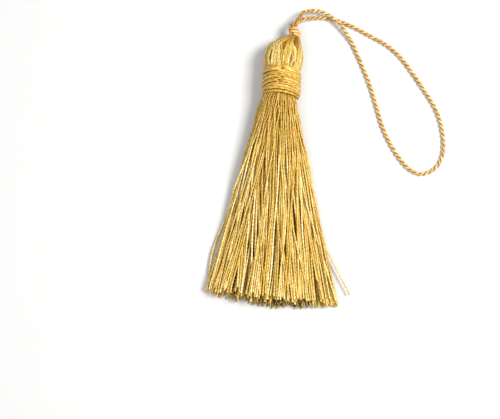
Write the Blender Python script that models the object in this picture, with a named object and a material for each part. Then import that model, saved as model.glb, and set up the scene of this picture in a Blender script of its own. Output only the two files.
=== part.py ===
"""Silk tassel lying on a flat surface, with its skirt fanned out and its cord loop beside it.

The origin is the middle of the flat spot under the neck binding, and the surface is z = 0.
The skirt runs along -Y, and the head, the knot and the loop lie towards +Y and +X.
Sizes are in millimetres, and new_object turns them into metres.
"""
import math
import random

import bmesh
import bpy
from mathutils import Matrix, Vector
from mathutils.geometry import delaunay_2d_cdt

METRES_IN_MM = 0.001
GAP = 0.32                          # between pieces that touch
SAME_PLACE = 1e-6                   # points nearer than this are one

# Neck binding: wraps of yarn around the neck
WRAPS = 9
WRAP_PITCH = 1.1
WRAP_SHOULDERS = (0.3, 0.7)         # where its crest starts and ends, as shares of the pitch
WRAP_CREST = 0.4                    # how far a wrap stands out of the grooves beside it
BINDING_RADIUS = 7.15               # over the crests
BINDING_HEIGHT = 7.0                # its axis above the surface, which leaves the flat spot below
BINDING_SLOPE = 0.1                 # its left edge lies nearer the head than its right edge
WRAP_ARCH = 0.4                     # how far a wrap climbs to the middle of the upper side
WRAP_SEGMENTS = 40

# Yarn core: the head's folded yarns and the neck inside the binding
NECK_RADIUS = 5.5
BUNDLES = 22                        # ridges of yarn around the head
POINTS_IN_BUNDLE = 3
BUNDLE_UNEVENNESS = 0.2             # of a bundle's width
SLOPE_FADES_FROM = 5.9              # the head follows the binding's slope up to here
SLOPE_FADES_BY = 10.0

# The core's sections, from the strands' roots inside the binding to the knot
CORE_COLUMNS = ("along", "centre_x", "centre_z", "half_width", "half_height", "groove")
CORE_SECTIONS = (
    (-3.0, 0.00, BINDING_HEIGHT, NECK_RADIUS, NECK_RADIUS, 0.05),
    (5.3, 0.00, BINDING_HEIGHT, NECK_RADIUS, NECK_RADIUS, 0.08),
    (5.7, 0.08, BINDING_HEIGHT, 6.30, 6.20, 0.30),
    (7.2, 0.15, 7.0, 6.65, 6.55, 0.45),
    (9.3, 0.30, 7.0, 6.80, 6.70, 0.50),
    (11.2, 0.50, 6.9, 6.62, 6.45, 0.50),
    (12.9, 0.70, 6.8, 6.02, 5.85, 0.45),
    (14.4, 1.00, 6.7, 5.18, 5.00, 0.40),
    (15.7, 1.70, 6.5, 4.15, 4.10, 0.32),
    (16.6, 2.50, 6.3, 3.20, 3.20, 0.25),
    (17.2, 3.15, 6.1, 2.35, 2.35, 0.18),
    (17.5, 3.50, 6.0, 1.60, 1.60, 0.10),
)

# Deeper slits between the head's bundles, in degrees around the core and from low to high along it
SLIT_COLUMNS = ("angle", "low", "high", "depth")
SLITS = (
    (133.0, 6.0, 12.0, 0.8),
    (97.0, 11.0, 14.8, 0.9),
    (67.0, 6.4, 9.8, 0.7),
    (47.0, 11.5, 17.0, 1.0),
)
SLIT_WIDTH = 5.0                    # degrees to each side

# Skirt: strands in rows across the neck, which settle into a low dome with a flat underside
STRAND_ROWS = 12
STRANDS_IN_WIDEST_ROW = 18
STRAND_HEIGHT = 0.5
SPREAD_UNEVENNESS = 0.3             # of the spacing between two strands of a row
FAN_RADIUS = 92.0                   # the cut ends lie on this arc
FAN_CENTRE_X = 6.0
FAN_CENTRE_Y = 12.0
UPPER_STRANDS_SHORTER = 4.0
END_UNEVENNESS = 0.5
LAYOUT_SEED = 7

# The skirt's sections: where its outermost strands run, the height of the lowest strands and of the
# bundle over them, how far it has settled from round to flat, and how much it follows the binding's slope
SKIRT_COLUMNS = (
    "along", "centre_x", "half_width", "lift", "height", "settled", "slope", "locks", "strand_width",
)
SKIRT_SECTIONS = (
    (-3.0, 0.00, 4.95, 2.05, 9.9, 0.00, 0.0, 0.00, 0.36),
    (-5.3, 0.00, 5.00, 2.00, 10.0, 0.00, 1.0, 0.00, 0.36),
    (-8.2, -0.25, 7.10, 1.30, 11.0, 0.20, 0.5, 0.05, 0.46),
    (-26.0, -0.75, 11.40, 0.17, 10.8, 0.80, 0.0, 0.25, 0.70),
    (-52.0, -0.25, 17.50, 0.17, 9.4, 1.00, 0.0, 0.45, 0.75),
    (-80.0, 0.45, 24.10, 0.17, 8.2, 1.00, 0.0, 0.55, 0.75),
)

# Locks: waves across the skirt that draw the strands together, as share, waves and phase
LOCK_WAVES = ((0.6, 5.0, 0.4), (0.4, 8.3, 2.1))

# The two strands that stray from the skirt's sides, and how far they run outside its edge
STRAY_COLUMNS = ("along", "out")
STRAY_LEFT = ((-44.0, 0.0), (-54.0, 1.9), (-60.5, 2.4), (-67.0, 1.8), (-73.0, 0.3))
STRAY_RIGHT = ((-50.0, 0.0), (-58.0, 0.3), (-66.5, 2.9), (-73.5, 4.9))

# Knot above the head, tied in the cord
KNOT_CENTRE = (3.6, 19.9, 6.0)
KNOT_HALF_SIZES = (2.1, 2.05, 1.95)
KNOT_WRAPS = 2
KNOT_WRAP_TURN = 5.0                # radians that a wrap turns from end to end
KNOT_RIDGE = 0.12                   # of the radius
KNOT_NUB_DIRECTION = (0.85, -0.4, 0.35)
KNOT_NUB = 0.28                     # of the radius
KNOT_NUB_WIDTH = 0.42
KNOT_SEGMENTS = 22
KNOT_RINGS = 12

# Hanging loop: a two-ply cord with an S twist
CORD_DIAMETER = 1.55
CORD_PITCH = 3.8
STEPS_IN_PITCH = 7
PLY_TIP_ANGLE = math.radians(34)    # the two edges of a ply, to each side of its middle
PLY_TIP = 0.5                       # of the diameter
PLY_GROOVE = 0.24
ROUTE_SAMPLES = 24                  # between two of the route's points

# The cord's route, from the upper leg's exit at the knot round to the lower leg's
CORD_ROUTE = (
    (4.05, 22.35, 7.00), (4.75, 23.90, 6.35), (6.00, 25.90, 5.35), (7.60, 27.40, 4.45),
    (12.00, 28.15, 3.15), (14.30, 27.45, 2.85), (16.50, 26.40, 2.70), (18.50, 25.00, 2.68),
    (20.30, 23.50, 2.60), (23.70, 19.10, 1.45), (25.20, 16.60, 0.95), (29.00, 9.00, 0.80),
    (31.20, 4.00, 0.80), (33.20, -1.20, 0.80), (34.90, -6.30, 0.80), (36.60, -11.30, 0.80),
    (38.80, -16.20, 0.80), (41.30, -20.40, 0.80), (44.10, -24.20, 0.80), (47.40, -27.40, 0.80),
    (51.00, -28.90, 0.80), (54.80, -27.90, 0.80), (57.70, -25.20, 0.80), (59.10, -21.20, 0.80),
    (59.10, -16.00, 0.80), (57.80, -9.80, 0.80), (55.30, -4.10, 0.80), (51.90, 0.90, 0.80),
    (48.20, 6.00, 0.80), (44.60, 10.70, 0.80), (40.90, 14.60, 0.80), (36.80, 17.60, 0.80),
    (31.80, 20.10, 0.80), (26.40, 22.70, 0.80), (20.80, 25.00, 0.80), (15.30, 25.95, 0.90),
    (11.00, 25.90, 1.45), (7.80, 25.20, 2.60), (5.60, 23.95, 4.00), (4.15, 22.35, 5.00),
)

# Colours of the silk, as linear values, and how rough it is
GOLD = (0.62, 0.40, 0.11)
BINDING_GOLD = (0.60, 0.36, 0.08)
PALE_GOLD = (0.72, 0.48, 0.22)
YARN_ROUGHNESS = 0.45
TWISTED_ROUGHNESS = 0.5


def remove_all_objects():
    for item in list(bpy.data.objects):
        bpy.data.objects.remove(item, do_unlink=True)


def silk(name, colour, roughness):
    """A material of its own for one piece."""
    made = bpy.data.materials.new(name)
    made.use_nodes = True
    shader = made.node_tree.nodes["Principled BSDF"]
    shader.inputs["Base Color"].default_value = (*colour, 1.0)
    shader.inputs["Roughness"].default_value = roughness
    shader.inputs["Metallic"].default_value = 0.0
    return made


def new_object(name, mesh_data, material, parent, location=(0.0, 0.0, 0.0)):
    """Finish a bmesh as a smooth-shaded object of the scene, in metres."""
    mesh_data.transform(Matrix.Scale(METRES_IN_MM, 4))
    mesh_data.normal_update()
    bmesh.ops.recalc_face_normals(mesh_data, faces=mesh_data.faces)
    mesh = bpy.data.meshes.new(name)
    mesh_data.to_mesh(mesh)
    mesh_data.free()
    mesh.shade_smooth()
    mesh.materials.append(material)
    made = bpy.data.objects.new(name, mesh)
    made.location = Vector(location) * METRES_IN_MM
    made.parent = parent
    bpy.context.scene.collection.objects.link(made)
    return made


def rows_of(columns, table):
    """A table's rows as dictionaries."""
    return [dict(zip(columns, row)) for row in table]


def between(rows, place, column):
    """A column's value at a place along the tassel, on straight lines between the rows."""
    ordered = sorted(rows, key=lambda row: row["along"])
    if place <= ordered[0]["along"]:
        return ordered[0][column]
    for low, high in zip(ordered, ordered[1:]):
        if place <= high["along"]:
            share = (place - low["along"]) / (high["along"] - low["along"])
            return low[column] + share * (high[column] - low[column])
    return ordered[-1][column]


def ring_faces(mesh_data, first, second):
    """Join two rings of the same number of points."""
    for number in range(len(first)):
        after = (number + 1) % len(first)
        mesh_data.faces.new((first[number], first[after], second[after], second[number]))


def add_ring(mesh_data, points):
    return [mesh_data.verts.new(point) for point in points]


def bundle_angles():
    """Angles of the core's points: each bundle's groove and the points on its back."""
    uneven = random.Random(LAYOUT_SEED)
    width = 2 * math.pi / BUNDLES
    grooves = [width * (number + BUNDLE_UNEVENNESS * uneven.uniform(-1, 1)) for number in range(BUNDLES)]
    grooves.append(grooves[0] + 2 * math.pi)
    angles = []
    for low, high in zip(grooves, grooves[1:]):
        for step in range(POINTS_IN_BUNDLE):
            angles.append((low + (high - low) * step / POINTS_IN_BUNDLE, step == 0))
    return angles


def slit_depth(angle, along):
    """How deep the slits cut at one place on the head."""
    depth = 0.0
    for slit in rows_of(SLIT_COLUMNS, SLITS):
        if slit["low"] < along < slit["high"]:
            off = (math.degrees(angle) - slit["angle"] + 180) % 360 - 180
            depth = max(depth, slit["depth"] * math.exp(-(off / SLIT_WIDTH) ** 2))
    return depth


def core_ring(section, angles):
    """One section of the yarn core, sloped with the binding where it leaves it."""
    along = section["along"]
    fade = (SLOPE_FADES_BY - along) / (SLOPE_FADES_BY - SLOPE_FADES_FROM)
    slope = BINDING_SLOPE * min(1.0, max(0.0, fade)) if along > 0 else 0.0
    points = []
    for angle, in_groove in angles:
        cut = slit_depth(angle, along) + (section["groove"] if in_groove else 0.0)
        x = section["centre_x"] + (section["half_width"] - cut) * math.cos(angle)
        z = section["centre_z"] + (section["half_height"] - cut) * math.sin(angle)
        points.append((x, along - slope * x, z))
    return points


def strand_places():
    """Each strand's row up the neck and its place across that row, from -1 to 1, row by row."""
    places = []
    for row in range(STRAND_ROWS):
        up = (2 * row + 1) / STRAND_ROWS - 1
        count = round(math.sqrt(1 - up * up) * STRANDS_IN_WIDEST_ROW)
        for number in range(count):
            places.append((up, 2 * number / (count - 1) - 1, 2 / (count - 1)))
    return places


def row_reach(up, settled):
    """How far a row of strands reaches to each side. Settled, the lower rows lie inside each other."""
    chord = math.sqrt(1 - up * up)
    on_surface = 1 + 2 * math.asin(up) / math.pi if up < 0 else chord
    return chord + settled * (on_surface - chord)


def drawn_into_locks(side, strength):
    """Move a place across the skirt towards the lock that it belongs to, without passing a neighbour."""
    moved = side
    for share, waves, phase in LOCK_WAVES:
        moved += strength * share * math.sin(math.pi * waves * side + phase) / (math.pi * waves)
    return moved


def strand_section(place, along, stray):
    """A strand's three-sided section at one distance along the skirt, with its flat side down."""
    up, across, spread = place
    rows = rows_of(SKIRT_COLUMNS, SKIRT_SECTIONS)
    neck, hem = rows[0]["half_width"], rows[-1]["half_width"]
    half_width = between(rows, along, "half_width")
    settled = between(rows, along, "settled")
    opened = (half_width - neck) / (hem - neck)
    side = (across + spread * opened) * row_reach(up, settled)
    x = between(rows, along, "centre_x") + half_width * drawn_into_locks(side, between(rows, along, "locks"))
    if stray:
        x += math.copysign(between(rows_of(STRAY_COLUMNS, stray), along, "out"), across)
    arch = 1 - settled + settled * math.sqrt(1 - across ** 2 * (1 - up ** 2))
    low = between(rows, along, "lift") + between(rows, along, "height") * (up + arch) / 2 - STRAND_HEIGHT / 3
    y = along - BINDING_SLOPE * between(rows, along, "slope") * x
    half = between(rows, along, "strand_width") / 2
    return (x - half, y, low), (x + half, y, low), (x, y, low + STRAND_HEIGHT)


def strand_end(place, uneven):
    """Where a strand is cut: the ends lie on a shallow arc, and the upper strands end sooner."""
    up, across, _ = place
    hem = rows_of(SKIRT_COLUMNS, SKIRT_SECTIONS)[-1]["half_width"]
    aside = across * row_reach(up, 1.0) * hem - FAN_CENTRE_X
    reach = math.sqrt(FAN_RADIUS ** 2 - aside ** 2)
    return FAN_CENTRE_Y - reach + (up + 1) / 2 * UPPER_STRANDS_SHORTER + uneven * END_UNEVENNESS


def skirt_strands():
    """Each strand as a list of three-sided sections, from its root to its cut end."""
    uneven = random.Random(LAYOUT_SEED)
    places = strand_places()
    reaches = [across * row_reach(up, 1.0) for up, across, _ in places]
    strays = {reaches.index(min(reaches)): STRAY_LEFT, reaches.index(max(reaches)): STRAY_RIGHT}
    strands = []
    for number, (up, across, spacing) in enumerate(places):
        stray = strays.get(number)
        at_edge = abs(across) == 1
        spread = 0.0 if at_edge else spacing * SPREAD_UNEVENNESS * uneven.uniform(-0.5, 0.5)
        place = (up, across, spread)
        end = stray[-1][0] if stray else strand_end(place, uneven.uniform(-1, 1))
        stations = {row[0] for row in SKIRT_SECTIONS + (stray or ()) if row[0] > end}
        stations = sorted(stations, reverse=True) + [end]
        strands.append([strand_section(place, along, stray) for along in stations])
    return strands


def root_cap(mesh_data, rim, roots):
    """Close the core's lower end around the strands' roots."""
    corners = rim + [corner for root in roots for corner in root]
    flat = [Vector((corner.co.x, corner.co.z)) for corner in corners]
    rim_edges = [(number, (number + 1) % len(rim)) for number in range(len(rim))]
    root_faces = [[len(rim) + 3 * number + side for side in range(3)] for number in range(len(roots))]
    inside_only = 1
    cut = delaunay_2d_cdt(flat, rim_edges, root_faces, inside_only, SAME_PLACE)
    _, _, faces, from_corners, _, from_faces = cut
    for face, belongs_to in zip(faces, from_faces):
        if not belongs_to:
            mesh_data.faces.new([corners[from_corners[corner][0]] for corner in face])


def make_yarns(parent):
    """The head, the neck and the skirt: one bundle of yarn, folded at the top and cut at the end."""
    mesh_data = bmesh.new()
    angles = bundle_angles()
    sections = rows_of(CORE_COLUMNS, CORE_SECTIONS)
    rings = [add_ring(mesh_data, core_ring(section, angles)) for section in sections]
    for first, second in zip(rings, rings[1:]):
        ring_faces(mesh_data, first, second)
    mesh_data.faces.new(rings[-1])
    roots = []
    for strand in skirt_strands():
        strand_rings = [add_ring(mesh_data, section) for section in strand]
        for first, second in zip(strand_rings, strand_rings[1:]):
            ring_faces(mesh_data, first, second)
        mesh_data.faces.new(strand_rings[-1])
        roots.append(strand_rings[0])
    root_cap(mesh_data, rings[0], roots)
    return new_object("yarn_bundle", mesh_data, silk("silk_yarn", GOLD, YARN_ROUGHNESS), parent)


def wrap_point(along, radius, angle):
    """A point of the binding's outside, flattened where it rests on the surface."""
    x = radius * math.cos(angle)
    z = BINDING_HEIGHT + radius * math.sin(angle)
    middle = along / (WRAPS * WRAP_PITCH / 2)
    arch = WRAP_ARCH * (1 - middle ** 2) * max(0.0, math.sin(angle)) ** 2
    return (x, along + arch - BINDING_SLOPE * x, max(0.0, z))


def make_binding(parent):
    """The wraps around the neck: a ring with a ridge for each wrap and a flat spot underneath."""
    half = WRAPS * WRAP_PITCH / 2
    bore = (NECK_RADIUS + GAP) / math.cos(math.pi / WRAP_SEGMENTS)
    outline = []
    for wrap in range(WRAPS):
        start = -half + wrap * WRAP_PITCH
        outline.append((start, BINDING_RADIUS - WRAP_CREST))
        for shoulder in WRAP_SHOULDERS:
            outline.append((start + shoulder * WRAP_PITCH, BINDING_RADIUS))
    outline.append((half, BINDING_RADIUS - WRAP_CREST))
    mesh_data = bmesh.new()
    columns = []
    for step in range(WRAP_SEGMENTS):
        angle = 2 * math.pi * (step + 0.5) / WRAP_SEGMENTS
        points = [wrap_point(along, radius, angle) for along, radius in outline]
        x = bore * math.cos(angle)
        z = BINDING_HEIGHT + bore * math.sin(angle)
        points.append((x, half - BINDING_SLOPE * x, z))
        points.append((x, -half - BINDING_SLOPE * x, z))
        columns.append(add_ring(mesh_data, points))
    for first, second in zip(columns, columns[1:] + columns[:1]):
        ring_faces(mesh_data, first, second)
    material = silk("binding_yarn", BINDING_GOLD, TWISTED_ROUGHNESS)
    return new_object("neck_binding", mesh_data, material, parent)


def make_knot(parent):
    """The knot: two wraps of cord crossing it slantwise, with a small nub at its right side."""
    mesh_data = bmesh.new()
    bmesh.ops.create_uvsphere(mesh_data, u_segments=KNOT_SEGMENTS, v_segments=KNOT_RINGS, radius=1.0)
    nub = Vector(KNOT_NUB_DIRECTION).normalized()
    for corner in mesh_data.verts:
        direction = Vector((corner.co.x, corner.co.z, corner.co.y)).normalized()
        around = math.atan2(direction.z, direction.x)
        waist = 1 - direction.y ** 2
        ridge = KNOT_RIDGE * waist * math.cos(KNOT_WRAPS * around + KNOT_WRAP_TURN * direction.y)
        bulge = KNOT_NUB * math.exp(-((direction - nub).length / KNOT_NUB_WIDTH) ** 2)
        reach = 1 - KNOT_RIDGE * waist + ridge + bulge
        corner.co = Vector([reach * part * half for part, half in zip(direction, KNOT_HALF_SIZES)])
    material = silk("knot_silk", PALE_GOLD, TWISTED_ROUGHNESS)
    return new_object("cord_knot", mesh_data, material, parent, KNOT_CENTRE)


def smooth_route():
    """The cord's route as a smooth curve through its points, sampled evenly at the twist's steps."""
    points = [Vector(point) for point in CORD_ROUTE]
    points = [2 * points[0] - points[1]] + points + [2 * points[-1] - points[-2]]
    fine = []
    for before, start, end, after in zip(points, points[1:], points[2:], points[3:]):
        for step in range(ROUTE_SAMPLES):
            t = step / ROUTE_SAMPLES
            ahead = (end - before) / 2
            behind = (after - start) / 2
            fine.append(
                start * (2 * t ** 3 - 3 * t ** 2 + 1) + ahead * (t ** 3 - 2 * t ** 2 + t)
                + end * (3 * t ** 2 - 2 * t ** 3) + behind * (t ** 3 - t ** 2)
            )
    fine.append(points[-2])
    lengths = [0.0]
    for start, end in zip(fine, fine[1:]):
        lengths.append(lengths[-1] + (end - start).length)
    steps = round(lengths[-1] / CORD_PITCH * STEPS_IN_PITCH)
    even = []
    at = 0
    for step in range(steps + 1):
        target = lengths[-1] * step / steps
        while at < len(fine) - 2 and lengths[at + 1] < target:
            at += 1
        share = (target - lengths[at]) / (lengths[at + 1] - lengths[at])
        even.append(fine[at].lerp(fine[at + 1], share))
    return even


def ply_section():
    """The cord's section as angle and radius: two plies with a groove between them."""
    section = []
    for ply_middle in (0.0, math.pi):
        section.append((ply_middle - PLY_TIP_ANGLE, PLY_TIP * CORD_DIAMETER))
        section.append((ply_middle + PLY_TIP_ANGLE, PLY_TIP * CORD_DIAMETER))
        section.append((ply_middle + math.pi / 2, PLY_GROOVE * CORD_DIAMETER))
    return section


def make_loop(parent):
    """The hanging loop: both plies of the cord raised, turning to the left as they advance."""
    mesh_data = bmesh.new()
    route = smooth_route()
    rings = []
    for number, centre in enumerate(route):
        before = route[max(0, number - 1)]
        after = route[min(len(route) - 1, number + 1)]
        side = (after - before).cross(Vector((0, 0, 1))).normalized()
        raised = side.cross(after - before).normalized()
        turned = 2 * math.pi * number / STEPS_IN_PITCH
        points = []
        for angle, radius in ply_section():
            outward = math.cos(angle + turned) * side + math.sin(angle + turned) * raised
            points.append(centre + radius * outward)
        rings.append(add_ring(mesh_data, points))
    for first, second in zip(rings, rings[1:]):
        ring_faces(mesh_data, first, second)
    mesh_data.faces.new(rings[0])
    mesh_data.faces.new(rings[-1])
    return new_object("hanging_loop", mesh_data, silk("loop_silk", PALE_GOLD, TWISTED_ROUGHNESS), parent)


def main():
    remove_all_objects()
    tassel = bpy.data.objects.new("tassel", None)
    bpy.context.scene.collection.objects.link(tassel)
    make_yarns(tassel)
    make_binding(tassel)
    make_knot(tassel)
    make_loop(tassel)


main()
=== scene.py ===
"""Looks of the silk tassel: its yarns, neck binding, knot and cord loop.

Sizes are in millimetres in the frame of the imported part, and new_piece turns them into metres.
Every piece is made of threads: a thread is a line that a twisted section runs along.
"""
import math

import bpy
import numpy as np
from mathutils import Matrix


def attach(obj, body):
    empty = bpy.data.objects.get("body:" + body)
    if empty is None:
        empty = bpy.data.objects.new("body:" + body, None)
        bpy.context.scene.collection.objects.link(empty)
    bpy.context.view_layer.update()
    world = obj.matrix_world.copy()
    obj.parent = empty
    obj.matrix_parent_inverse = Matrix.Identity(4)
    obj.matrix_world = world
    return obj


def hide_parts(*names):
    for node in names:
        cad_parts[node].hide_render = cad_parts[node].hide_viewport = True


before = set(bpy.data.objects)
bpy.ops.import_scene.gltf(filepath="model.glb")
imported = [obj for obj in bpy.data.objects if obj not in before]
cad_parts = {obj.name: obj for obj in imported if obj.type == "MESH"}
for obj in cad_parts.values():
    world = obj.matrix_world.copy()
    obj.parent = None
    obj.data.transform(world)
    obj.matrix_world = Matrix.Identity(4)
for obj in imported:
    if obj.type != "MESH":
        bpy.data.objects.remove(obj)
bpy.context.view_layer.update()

METRES_IN_MM = 0.001
SEED = 11
CROSSING_SEED = 5
UP = np.array((0.0, 0.0, 1.0))
ALONG_TASSEL = np.array((0.0, 1.0, 0.0))
LOWEST = 0.01
FINE_POINTS = 40

# Camera: nearly straight above the tassel, turned a little, as in the photograph
CAMERA_PLACE = (-5.796, -106.988, 593.317)
CAMERA_LENS = 120.0
CAMERA_SEES_METRES = 10.0
CAMERA_TILT = math.radians(6.0)
CAMERA_TURN = math.radians(2.9)

# Sections of the threads: the crest of a ply, its groove, and ribs as points around, ribs and their depth
CREST_HALF_ANGLE = 0.62
CREST_SIDE_REACH = 0.95
GROOVE_REACH = 0.78
# Painted shade: how much darker a thread's tone is in its grooves
GROOVE_PAINTED_SHADE = 0.35
PLY_RIBS = (12, 6, 0.10)
INNER_RIBS = (6, 2, 0.12)
CORE_RIBS = (64, 32, 0.04)
PLY_PITCH = -2.6
CORE_PITCH = 60.0
PHASE_SHIFTS_NOISE = 7.0

# Hanging loop: a two-ply cord, along the same route as its solid
CORD_PITCH = 3.8
CORD_STEPS_IN_PITCH = 16
PLY_RADIUS = 0.395
PLY_OFFSET = 0.38
PLY_TONES = (0.45, 0.6)
# Painted shade in the groove between the plies: where it starts, how softly, and how dark
PLIES_MEET_AT = 0.8
PLIES_MEET_OVER = 0.45
PLY_GROOVE_PAINTED_SHADE = 1.7
# Painted shade on the cord near the knot, and how far along it reaches
CORD_PAINTED_SHADE = 0.9
CORD_PAINTED_SHADE_OVER = 6.0
CORD_MEASURED_POINTS = 2000
CORD_ROUTE = (
    (4.05, 22.35, 7.00), (4.75, 23.90, 6.35), (6.00, 25.90, 5.35), (7.60, 27.40, 4.45),
    (12.00, 28.15, 3.15), (14.30, 27.45, 2.85), (16.50, 26.40, 2.70), (18.50, 25.00, 2.68),
    (20.30, 23.50, 2.60), (23.70, 19.10, 1.45), (25.20, 16.60, 0.95), (29.00, 9.00, 0.80),
    (31.20, 4.00, 0.80), (33.20, -1.20, 0.80), (34.90, -6.30, 0.80), (36.60, -11.30, 0.80),
    (38.80, -16.20, 0.80), (41.30, -20.40, 0.80), (44.10, -24.20, 0.80), (47.40, -27.40, 0.80),
    (51.00, -28.90, 0.80), (54.80, -27.90, 0.80), (57.70, -25.20, 0.80), (59.10, -21.20, 0.80),
    (59.10, -16.00, 0.80), (57.80, -9.80, 0.80), (55.30, -4.10, 0.80), (51.90, 0.90, 0.80),
    (48.20, 6.00, 0.80), (44.60, 10.70, 0.80), (40.90, 14.60, 0.80), (36.80, 17.60, 0.80),
    (31.80, 20.10, 0.80), (26.40, 22.70, 0.80), (20.80, 25.00, 0.80), (15.30, 25.95, 0.90),
    (11.00, 25.90, 1.45), (7.80, 25.20, 2.60), (5.60, 23.95, 4.00), (4.15, 22.35, 5.00),
)

# Knot: one leg of the cord runs down its left side, and the other winds around that one
KNOT_CORD_SHARE = 1.0
# Painted shade in the groove between the knot's plies
KNOT_PLY_GROOVE_PAINTED_SHADE = 0.7
KNOT_PLIES_ACROSS = np.array((0.13, 0.31, 0.94))
KNOT_YARN_ACROSS = np.array((0.2, 0.3, 0.93))
KNOT_UPRIGHT_STEPS = 80
# Painted shade: the leg down the knot's left side has a dark tone
KNOT_UPRIGHT_SHADED_TONE = -0.45
KNOT_UPRIGHT = (
    (3.20, 21.95, 7.30), (2.55, 21.00, 7.15), (2.30, 19.80, 6.90), (2.50, 18.50, 6.70), (2.80, 17.00, 6.20),
)
KNOT_WRAP_STEPS = 200
# Painted light: the wrap around the leg has a pale tone
KNOT_WRAP_LIT_TONE = 0.75
KNOT_WRAP = (
    (3.40, 21.30, 4.60), (2.50, 20.60, 4.90), (2.60, 20.60, 6.50), (3.40, 20.45, 7.50), (4.50, 19.70, 7.55),
    (5.50, 18.95, 6.80), (5.50, 18.70, 5.60), (4.50, 19.00, 4.60), (3.10, 19.40, 4.50), (2.55, 19.40, 5.60),
    (2.95, 19.35, 6.80), (3.80, 18.80, 7.25), (4.75, 18.05, 6.90), (4.80, 17.40, 5.90), (4.00, 16.70, 5.50),
)
KNOT_INSIDE_STEPS = 60
# Painted shade: the stretch inside the knot has a dark tone
KNOT_INSIDE_SHADED_TONE = -0.4
KNOT_INSIDE = (
    (4.00, 22.00, 5.80), (3.70, 20.90, 6.20), (3.80, 19.60, 6.10), (3.80, 18.20, 6.00), (3.60, 16.80, 6.00),
)

# Skirt: its neck, fan and hem are nearly those of its solid
STRANDS = 330
STRAND_RADIUS = 0.36
STRAND_PITCH = 2.3
STRAND_SIZES = (0.93, 1.05)
STRAND_PITCHES = (0.85, 1.35)
STRAND_STEPS = 201
STRANDS_START = -3.0
BINDING_SLOPE = 0.1
FAN_RADIUS = 92.0
FAN_CENTRE_X = 5.0
FAN_CENTRE_Y = 12.0
UPPER_STRANDS_SHORTER = 4.0
SKIRT_COLUMNS = ("along", "centre_x", "half_width", "lift", "height", "settled", "slope", "locks", "squeezed")
SKIRT_SECTIONS = (
    (-3.0, -0.10, 5.10, 1.90, 10.2, 0.00, 0.6, 0.00, 0.72),
    (-4.6, -0.35, 5.60, 1.70, 10.6, 0.00, 0.6, 0.00, 0.76),
    (-6.0, -0.55, 6.25, 1.40, 11.0, 0.05, 0.4, 0.00, 0.82),
    (-8.2, -0.60, 6.70, 1.20, 11.2, 0.15, 0.2, 0.05, 0.86),
    (-14.0, -0.70, 8.05, 0.80, 11.2, 0.40, 0.0, 0.12, 0.94),
    (-26.0, -0.75, 11.40, 0.17, 10.8, 0.80, 0.0, 0.25, 1.00),
    (-52.0, -0.35, 17.60, 0.17, 9.4, 1.00, 0.0, 0.25, 1.00),
    (-82.0, -0.10, 25.80, 0.17, 8.1, 1.00, 0.0, 0.35, 1.00),
)
LOCK_WAVES = ((0.6, 5.0, 2.0), (0.4, 8.3, 3.4))
STRAY_COLUMNS = ("along", "out")
STRAY_LEFT = ((-44.0, 0.0), (-54.0, 1.5), (-60.5, 1.7), (-67.0, 0.9), (-73.0, -0.7))
STRAY_RIGHT = ((-50.0, 0.0), (-58.0, 0.3), (-66.5, 2.9), (-73.5, 4.9))
STRAY_STATION = -4

# How the strands crowd at the edges, bunch, wander and cross, from where they are free of the binding
FREE_FROM = -8.0
EDGE_CROWDING = 0.48
BUNCHES = 96
BUNCHED = 0.35
BUNCHED_FROM = -7.0
BUNCHED_OVER = 45.0
BUNCH_WANDER = 0.14
BUNCH_LIFT = 0.35
BUNCH_DRIFT = 0.11
STRAND_WANDER = 0.10
STRAND_LIFT = 0.10
STRAND_DRIFT = 0.26
DRIFT_UP_SHARE = 0.4
DRIFT_FREEDOM = 3
DRIFT_SCALE = 0.65
DRIFT_LIMIT = 4.0
DRIFT_OVER = 60.0
DRIFT_MOST = 1.3
HIGHEST_PLACE = 0.999
TOP_STRANDS_FROM = 0.3
CROSSING_STRANDS = 40
CROSSING_STARTS = (-48.0, -8.0)
CROSSING_SLOPES = (0.05, 0.16)
CROSSING_BEND = 6.0
CROSSING_LIFT = 0.3
CROSSING_EDGE = 0.96
CROSSING_RISES_OVER = 14.0
NECK_WANDER = 0.16
NECK_WANDER_LENGTHS = (8.5, 12.5)
NECK_WANDER_AT = -11.0
NECK_WANDER_OVER = 9.0
WANDER_LENGTHS = (31.0, 53.0, 97.0)
WANDER_OVER = 24.0
STATION_SPACING = 2.5
STATIONS_END = -86.0
HEM = -77.0

# How the strands are pushed apart and smoothed, and how uneven their ends are
SETTLE_ROUNDS = 36
SETTLE_PUSH = 0.3
SETTLE_SMOOTHING = 0.2
LEAST_DISTANCE = 1e-6
SMOOTH_ROUNDS = 8
SMOOTHING = 0.25
END_UNEVENNESS = 0.6
END_UNEVEN_LIMIT = 1.6
SHORT_STRANDS = 9
SHORTER_BY = (2.5, 9.0)
END_FLARE = 0.14
END_FLARE_OVER = 2.0
TIP_SHARE = 0.75
TIP_LENGTH = 0.7

# Which strands show at the outside, and the strands' tones, with painted shade near the binding and inside
# the bundle, and the ends left lit
OUTSIDE_UP = 0.25
OUTSIDE_EDGE = 0.78
OUTSIDE_LOWEST = -0.45
OUTER_PIECES = 3
INNER_THINNED = 3
OWN_TONE_SHARE = 0.7
BUNCH_TONE_SHARE = 0.3
NECK_PAINTED_SHADE = 0.6
NECK_PAINTED_SHADE_FROM = -34.0
NECK_PAINTED_SHADE_OVER = 26.0
# Painted shade on strands deep inside the bundle
INSIDE_PAINTED_SHADE = 0.3
INSIDE_FROM = 0.94
INSIDE_OVER = 0.3
ENDS_LIT_OVER = 9.0

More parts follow.
